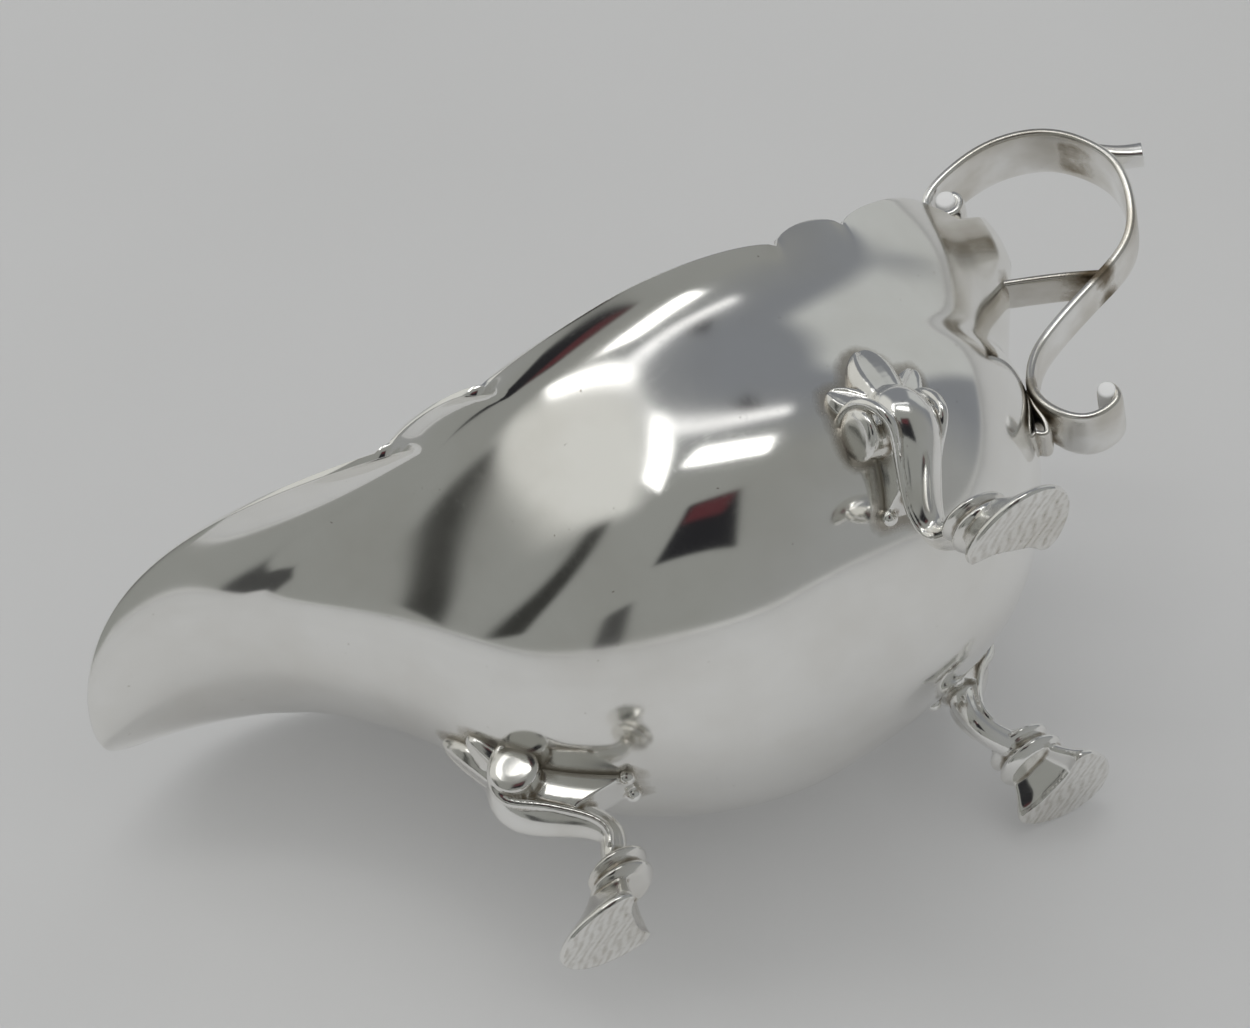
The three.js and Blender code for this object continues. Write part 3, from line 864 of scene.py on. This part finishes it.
def lobe(foot, lean, length, half_width, height):
    """One lobe, laid on the bowl from the knee upwards."""
    knee = on_bowl(foot.azimuth, KNEE_HEIGHT * MM)[0]
    radius = math.hypot(knee.x - BOWL_CENTRE_X, knee.y)
    lean = math.radians(lean)
    rings = []
    for along in np.linspace(0.0, 1, 34):
        width = half_width * (0.5 + 0.5 * math.sin(math.pi / 2 * min(along / 0.7, 1)))
        width *= max(1 - max((along - 0.6) / 0.402, 0) ** 2, 0.001) ** 0.6
        low = math.sqrt(width / half_width)
        ring = []
        for turn in around(32):
            across = math.cos(turn) * width
            side = math.sin(lean) * length * along + math.cos(lean) * across
            up = math.cos(lean) * length * along - math.sin(lean) * across
            azimuth = foot.azimuth + math.degrees(side * MM / radius)
            point, normal = on_bowl(azimuth, (KNEE_HEIGHT - 0.6 + up) * MM)
            dome = math.sin(turn)
            if dome > 0:
                fold = 0.40 * math.exp(-(((abs(math.cos(turn)) - 0.62) / 0.16) ** 2))
                hollow = 0.35 * math.exp(-((math.cos(turn) / 0.3) ** 2))
                above = low * (height * dome**0.55 + fold - hollow * along)
                above += ROOT_RISE * (1 - along) ** 2 * dome**0.5
            else:
                above = 0.4 * dome
            ring.append(np.array(point + normal * (above + 0.05) * MM))
        rings.append(ring)
    return loft(rings)


def make_leaf(name, foot):
    forms = [lobe(foot, *shape) for shape in LOBES]
    return cast(name, forms, voxel=0.17, melt=2, material=cast_silver)


leaves = {place: make_leaf(f"{place}_applied_leaf", foot) for place, foot in FEET.items()}

# %% [markdown]
# ## The handle
#
# The handle is one flat strap bent into an upper and a lower scroll. Geometry Nodes
# sweep a section along a curve here. Curve to Mesh would scale the section evenly, but
# a strap gets wider without getting thicker, so the tree bends a grid instead: one side
# of the grid follows the curve, the other goes round a rounded rectangle.

# %% Strap tree
STRAP_STEPS, STRAP_SIDES = 241, 33
STRAP_WIDTHS = ((0, 0.8), (0.2, 1), (0.4, 1), (0.62, 0), (0.72, 0), (0.9, 1), (1, 1))


def strap_tree(name, widths, material, swell=0.0):
    tree, size = shape_tree(
        name, {"Width Top": 10.0, "Width Waist": 7.0, "Thickness": 1.3}, takes_geometry=True
    )
    grid = tree.node(
        "GeometryNodeMeshGrid",
        values={"Size X": 1.0, "Size Y": 1.0, "Vertices X": STRAP_STEPS, "Vertices Y": STRAP_SIDES},
    )
    along, around, _ = tree.position()
    step = (along + 0.5) * (STRAP_STEPS - 1)
    factor = ((step - 2) / (STRAP_STEPS - 5)).clamped()
    to_end = step.math("MINIMUM", (STRAP_STEPS - 1) - step) / 3
    closing = (1 - (1 - to_end.clamped()) ** 2.0).math("MAXIMUM", 0.0) ** 0.5
    sample = tree.node_tree.nodes.new("GeometryNodeSampleCurve")
    sample.use_all_curves = True
    tree.node_tree.links.new(size["Geometry"].socket, sample.inputs["Curves"])
    tree.node_tree.links.new(factor.socket, sample.inputs["Factor"])
    place, tangent = (Wire(tree, sample.outputs[label]) for label in ("Position", "Tangent"))
    normal = tree.node(
        "ShaderNodeVectorMath", {"operation": "CROSS_PRODUCT"}, {0: tangent, 1: (0, 1, 0)}
    )
    turn = (around + 0.5) * (2 * math.pi)
    cosine, sine = turn.math("COSINE"), turn.math("SINE")
    wide = cosine.math("SIGN") * cosine.math("ABSOLUTE") ** 0.3
    thick = sine.math("SIGN") * sine.math("ABSOLUTE") ** 0.55
    spread = None
    for (start, low), (end, high) in zip(widths, widths[1:]):
        piece = tree.node(
            "ShaderNodeMapRange",
            {"interpolation_type": "SMOOTHSTEP"},
            {0: factor, 1: float(start), 2: float(end), 3: 0.0, 4: float(high - low)},
        )
        spread = piece + (widths[0][1] if spread is None else spread)
    width = size["Width Waist"] + (size["Width Top"] - size["Width Waist"]) * spread
    side = tree.vector(y=wide * width * closing * (0.5 * MM))
    depth = size["Thickness"] * (1 + factor * swell)
    lift = tree.node(
        "ShaderNodeVectorMath",
        {"operation": "SCALE"},
        {0: normal, "Scale": thick * depth * closing * (0.5 * MM)},
    )
    moved = tree.node("ShaderNodeVectorMath", {"operation": "ADD"}, {0: place, 1: side})
    moved = tree.node("ShaderNodeVectorMath", {"operation": "ADD"}, {0: moved, 1: lift})
    bent = tree.node("GeometryNodeSetPosition", values={"Geometry": grid, "Position": moved})
    closed = tree.node(
        "GeometryNodeMergeByDistance", values={"Geometry": bent, "Distance": 0.002 * MM}
    )
    return finish_tree(tree, closed, material)


HANDLE_REACH, HANDLE_FOOT_HEIGHT, VOLUTE_SHARE, STRAP_THICKNESS = 31.0, 36.0, 0.81, 1.3
GAP = 0.3
belly = on_bowl(0, HANDLE_FOOT_HEIGHT * MM)[0].x / MM
volute_seat = MERIDIAN[0][-1][2] / MM + 2 * GAP + STRAP_THICKNESS / 2


def handle_spot(across, up):
    return (
        (belly + 0.1 + STRAP_THICKNESS / 2 + across * HANDLE_REACH) * MM,
        0,
        (HANDLE_FOOT_HEIGHT + (volute_seat - HANDLE_FOOT_HEIGHT) * up / VOLUTE_SHARE) * MM,
    )


def strap(name, outline, group, **sizes):
    """A strap of silver bent along an outline in the boat's middle plane."""
    path = smooth([handle_spot(*place) for place in outline], 300)
    curve = bpy.data.curves.new(name, "CURVE")
    curve.dimensions = "3D"
    line = curve.splines.new("POLY")
    line.points.add(len(path) - 1)
    for point, place in zip(line.points, path):
        point.co = (*place, 1)
    curve.materials.append(strap_silver)
    piece = grow(new_object(name, curve), group, **sizes)
    outwards = sum(
        face.center.dot(face.normal) * face.area for face in piece.data.polygons
    )
    if outwards < 0:
        piece.data.flip_normals()
    piece.data.shade_smooth()
    return piece


SCROLL = (
    (0.27, 0.905), (0.29, 0.865), (0.24, 0.83), (0.17, 0.85), (0.145, 0.91), (0.22, 0.965),
    (0.39, 1.0), (0.6, 1.0), (0.82, 0.92), (0.95, 0.77), (0.98, 0.62), (0.91, 0.46),
    (0.78, 0.345), (0.59, 0.285), (0.41, 0.24), (0.24, 0.19), (0.11, 0.13), (0.02, 0.04),
    (0.0, -0.05), (0.03, -0.14), (0.11, -0.215), (0.22, -0.23), (0.29, -0.2),
    (0.28, -0.15), (0.24, -0.155),
)
scroll = strap(
    "scroll_handle",
    SCROLL,
    strap_tree("scroll_strap", STRAP_WIDTHS, strap_silver),
    **{"Thickness": 1.55},
)


def add_roll(piece, across, up, radius, half_width):
    """The tight roll in which a strap ends, a short bar with eased ends."""
    middle = np.array(handle_spot(across, up))
    profile = [(-1, 0.7), (-0.985, 0.88), (-0.94, 1), (0.94, 1), (0.985, 0.88), (1, 0.7)]

    def place(row, ahead, upward):
        side, wide = row[0], radius * row[1]
        return middle + np.array((wide * ahead, half_width * side, wide * upward)) * MM

    roll = new_object("roll", plain_mesh("roll", *turned(profile, place, 40)))
    if sum(face.normal.dot(face.center - Vector(middle)) for face in roll.data.polygons) < 0:
        roll.data.flip_normals()
    union = piece.modifiers.new("roll", "BOOLEAN")
    union.operation, union.solver, union.object = "UNION", "EXACT", roll
    piece = grow(piece)
    bpy.data.objects.remove(roll)
    return piece


scroll = add_roll(scroll, 0.235, 0.89, 1.5, 4.75)
scroll = add_roll(scroll, 0.262, -0.168, 1.35, 5.1)
scroll.data.shade_smooth()
scroll.data.set_sharp_from_angle(angle=math.radians(48))
report(scroll)

# %% Small straps of the handle
EVEN = ((0, 1), (1, 1))
TAPER = ((0, 1), (1, 0))
stay = strap(
    "handle_stay",
    ((0.17, 0.485), (0.26, 0.45), (0.45, 0.37), (0.62, 0.285)),
    strap_tree("stay_strap", EVEN, strap_silver),
    **{"Width Top": 6.6, "Thickness": 1.2},
)
spur = strap(
    "thumb_spur",
    ((0.9, 0.88), (0.985, 0.79), (1.07, 0.73), (1.16, 0.69)),
    strap_tree("spur_strap", TAPER, strap_silver, swell=1.0),
    **{"Width Top": 5.0, "Width Waist": 3.4, "Thickness": 1.3},
)
curl = strap(
    "foot_curl",
    ((0.0, 0.03), (-0.025, -0.04), (-0.03, -0.11), (-0.06, -0.16), (-0.1, -0.14)),
    strap_tree("curl_strap", EVEN, strap_silver),
    **{"Width Top": 6.0, "Thickness": 1.1},
)
for piece in (stay, spur, curl):
    report(piece)

# %% [markdown]
# ## What stands for what
#
# Each piece rides on the one body and replaces the imported solid that it was built over.

# %% Hollows and solder joints
def mark_joints(piece, neighbours, near=0.5, far=2.4):
    """Adds to a piece's hollows the places close to the pieces soldered on it."""
    spots = np.concatenate([corners(neighbour)[::4] for neighbour in neighbours])
    tree = KDTree(len(spots))
    for index, spot in enumerate(spots):
        tree.insert(spot, index)
    tree.balance()
    layer = piece.data.attributes["recess"]
    marks = attribute(piece, "recess")
    low, high = spots.min(0) - far * MM, spots.max(0) + far * MM
    places = corners(piece)
    close = np.flatnonzero(((places > low) & (places < high)).all(1))
    for index in close:
        gap = tree.find(places[index])[2] / MM
        marks[index] = max(marks[index], min((far - gap) / (far - near), 1))
    layer.data.foreach_set("value", marks.astype(np.float32))


# The bowl's own curves hold no tarnish, so its hollows hardly count.
mark_recesses(bowl, reach=6, full=2)
for piece in (scroll, stay, spur, curl):
    mark_recesses(piece, reach=6)
for fitting in (*legs.values(), *leaves.values(), stay, curl):
    mark_joints(bowl, [fitting])
mark_joints(scroll, [stay, spur, curl])
mark_joints(stay, [scroll], 0.6, 5)

# %% Tie the pieces to the frame
PIECES = {
    "bowl": (bowl, "polished_silver"),
    "handle_scroll": (scroll, "handle_silver"),
    "handle_strut": (stay, "handle_silver"),
    "handle_thumb_leaf": (spur, "handle_silver"),
    "handle_foot_curl": (curl, "handle_silver"),
}
for place in FEET:
    PIECES[f"{place}_leg"] = (legs[place], "cast_silver")
    PIECES[f"{place}_leaf"] = (leaves[place], "cast_silver")
for node, (piece, finish) in PIECES.items():
    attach(piece, "root")
    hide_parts(node)
print(len(PIECES), "pieces replace", len(PIECES), "packed solids")

# %% [markdown]
# ## The table
#
# The boat lies on the edge of its rim and the toe of its starboard rear hoof, so the
# table top is the plane that touches those, and its upward direction is close to -Y.
# It fills the camera's view. Seen from below it would hide the boat, so its back lets
# everything through.

# %% Table
TABLE_UP = Vector((0.22, -0.975, 0.038)).normalized()
TABLE_RIGHT = (turn.col[0].to_3d() - TABLE_UP * turn.col[0].to_3d().dot(TABLE_UP)).normalized()
TABLE_NEAR = TABLE_RIGHT.cross(TABLE_UP)
lowest = min(
    float((corners(piece) @ np.array(TABLE_UP)).min()) for piece, _ in PIECES.values()
)


def over_table(right, near, up):
    """A place by its distances in metres from the boat, along the table and above it."""
    return TABLE_RIGHT * right + TABLE_NEAR * near + TABLE_UP * (up + lowest)


def table_material():
    material = bpy.data.materials.new("table_paper")
    material.use_nodes = True
    tree = Tree(material.node_tree)
    surface = material.node_tree.nodes["Principled BSDF"]
    surface.inputs["Roughness"].default_value = 0.75
    surface.inputs["Specular IOR Level"].default_value = 0.25
    place = tree.node("ShaderNodeTexCoord", output=3)
    wide = tree.node("ShaderNodeTexNoise", values={"Vector": place, "Scale": 9.0, "Detail": 4.0})
    mottle = tree.node(
        "ShaderNodeMix",
        {"data_type": "RGBA"},
        {"Factor": wide, 6: (0.60, 0.60, 0.60, 1), 7: (0.67, 0.67, 0.675, 1)},
        output=2,
    )
    links = material.node_tree.links
    links.new(mottle.socket, surface.inputs["Base Color"])
    clear = tree.node("ShaderNodeBsdfTransparent")
    behind = tree.node("ShaderNodeNewGeometry", output=6)
    both = tree.node(
        "ShaderNodeMixShader", values={0: behind, 1: Wire(tree, surface.outputs[0]), 2: clear}
    )
    output = material.node_tree.nodes["Material Output"]
    links.new(both.socket, output.inputs["Surface"])
    return material


TABLE_FAR, TABLE_EDGE, TABLE_SIDE = -3.0, 1.3, 2.5
outline = [
    over_table(-TABLE_SIDE, TABLE_EDGE, 0),
    over_table(TABLE_SIDE, TABLE_EDGE, 0),
    over_table(TABLE_SIDE, TABLE_FAR, 0),
    over_table(-TABLE_SIDE, TABLE_FAR, 0),
]
table = new_object("table_top", plain_mesh("table_top", outline, [(0, 1, 2, 3)]))
if table.data.polygons[0].normal.dot(TABLE_UP) < 0:
    table.data.flip_normals()
table.data.materials.append(table_material())
print("table lies", round(-lowest / MM, 2), "mm below the boat's middle plane")

# %% [markdown]
# ## The room in the silver
#
# Polished silver is drawn by what it reflects, so the room matters as much as the
# metal. Here the room is painted on the world by direction. Directions are given as on
# a chart of the sky over the table: degrees away from straight up, to the right and
# towards the near side. A pane is a shape on that chart with soft edges. The room is
# grey with a bright window wall on the left, lamps overhead, and the dark shapes of
# furniture and of whoever is standing at the table.

# %% Room
def paint_room():
    world = bpy.data.worlds.new("room")
    world.use_nodes = True
    bpy.context.scene.world = world
    tree = Tree(world.node_tree)
    direction = tree.node("ShaderNodeTexCoord")

    def share(axis):
        return tree.node(
            "ShaderNodeVectorMath",
            {"operation": "DOT_PRODUCT"},
            {0: direction, 1: tuple(axis)},
            output=1,
        )

    right, near, up = share(TABLE_RIGHT), share(TABLE_NEAR), share(TABLE_UP)
    from_top = up.math("MAXIMUM", -1.0).math("MINIMUM", 1.0).math("ARCCOSINE") * (180 / math.pi)
    stretch = from_top / (right * right + near * near + 1e-6) ** 0.5
    east, south = right * stretch, near * stretch

    def pane(corners, soft=2.0):
        """1 inside a convex shape on the sky chart, falling to 0 over that many degrees."""
        area = sum(a[0] * b[1] - b[0] * a[1] for a, b in zip(corners, [*corners[1:], corners[0]]))
        mask = None
        for start, end in zip(corners, [*corners[1:], corners[0]]):
            along = np.subtract(end, start) * math.copysign(1, area)
            along = along / np.linalg.norm(along)
            offset = along[0] * start[1] - along[1] * start[0]
            inside = south * float(along[0]) - east * float(along[1]) - float(offset)
            edge = (inside / soft + 0.5).clamped()
            mask = edge if mask is None else mask * edge
        return mask

    def paint(under, mask, colour, strength=1.0):
        return tree.node(
            "ShaderNodeMix",
            {"data_type": "RGBA"},
            {"Factor": mask * strength, 6: under, 7: (*colour, 1)},
            output=2,
        )

    above = ((up + 0.02) / 0.03).clamped()
    room = paint((0.255, 0.260, 0.245, 1), ((east - 5) / 60).clamped(), (0.28, 0.285, 0.28))
    room = paint(room, ((south * -1 - 8) / 30).clamped(), (0.20, 0.21, 0.225))
    room = paint(room, pane(LIT_WALL, 9), (0.62, 0.62, 0.59))
    room = paint(room, pane(FAR_WALL, 6), (0.46, 0.47, 0.46))
    room = paint(room, pane(DOOR_EDGE, 3), (0.02, 0.02, 0.018), 0.95)
    room = paint(room, pane(SHELF, 3), (0.03, 0.03, 0.03), 0.9)
    room = paint(room, pane(CURTAIN, 2.5), (0.045, 0.04, 0.03), 0.9)
    room = paint(room, pane(FIGURE, 2.5), (0.018, 0.018, 0.02))
    room = paint(room, pane(SLEEVE, 3.5), (0.09, 0.028, 0.032), 0.9)
    room = paint(room, pane(LAMP_ROSE, 1.2), (0.03, 0.03, 0.035))
    room = paint(room, pane(WINDOW, 2.5), (3.0, 3.0, 2.95))
    room = paint(room, pane(TALL_PANE, 2), (2.6, 2.6, 2.55))
    room = paint(room, pane(WIDE_PANE, 2), (2.2, 2.2, 2.15))
    room = paint(room, pane(TOP_PANE, 2.5), (1.3, 1.3, 1.3))
    room = tree.node(
        "ShaderNodeMix",
        {"data_type": "RGBA"},
        {"Factor": above, 6: (0.50, 0.50, 0.49, 1), 7: room},
        output=2,
    )
    links = world.node_tree.links
    background = world.node_tree.nodes["Background"]
    links.new(room.socket, background.inputs["Color"])
    background.inputs["Strength"].default_value = 1.0


# Shapes on the sky chart, in degrees to the right and degrees towards the near side.
LIT_WALL = ((-95, -6), (-60, -2), (-41, 2), (-26, -32), (-40, -75), (-85, -60))
FAR_WALL = ((12, -46), (44, -40), (75, -62), (50, -95), (15, -80))
DOOR_EDGE = ((-55, -2), (-48, -1), (-72, 40), (-82, 34))
SHELF = ((-41, 62), (-31, 62), (-27, 89), (-41, 89))
CURTAIN = ((55, -77), (62, -84), (82, -77), (73, -71))
FIGURE = ((-27, 42), (-19, 9), (1, 8), (12, 47))
SLEEVE = ((-20, 20), (-17, 10), (0, 9), (-2, 21))
LAMP_ROSE = ((-8, -33), (-4, -36), (0, -33), (-4, -30))
WINDOW = ((-23, -14.5), (-17, -20.5), (5, -18), (5, -10))
TALL_PANE = ((-27, -29), (-23, -30), (-31, -11), (-35, -14))
WIDE_PANE = ((-31, -5), (-23, -29), (-26, -30), (-36, -13))
TOP_PANE = ((-27, -26), (8, -28), (7, -31.5), (-24, -29.5))
paint_room()
bpy.context.scene.view_settings.view_transform = "Standard"
print("room painted with", len(bpy.context.scene.world.node_tree.nodes), "nodes")

# %% [markdown]
# ## Lamps
#
# The table gets its brightness from a broad lamp over it. The silver throws light back
# into its own shadow, and a second lamp without a shadow stands for that. The lamps are
# not seen in the silver, which mirrors the painted panes instead.

# %% Lamps
def soft_lamp(name, place, size, power, shadow=True, aim=(0, 0, 0.03)):
    lamp = bpy.data.lights.new(name, "AREA")
    lamp.shape = "RECTANGLE"
    lamp.size, lamp.size_y = size
    lamp.energy = power
    stand = new_object(name, lamp)
    stand.location = over_table(*place)
    towards = over_table(*aim) - stand.location
    stand.rotation_euler = towards.to_track_quat("-Z", "Y").to_euler()
    stand.visible_glossy = False
    lamp.use_shadow = shadow
    return stand


soft_lamp("overhead", (-0.25, -0.4, 1.6), (2.4, 2.4), 5)
soft_lamp("thrown_back", (0, 0.2, 1.6), (2.4, 2.4), 14, shadow=False)
print("lamps in place")
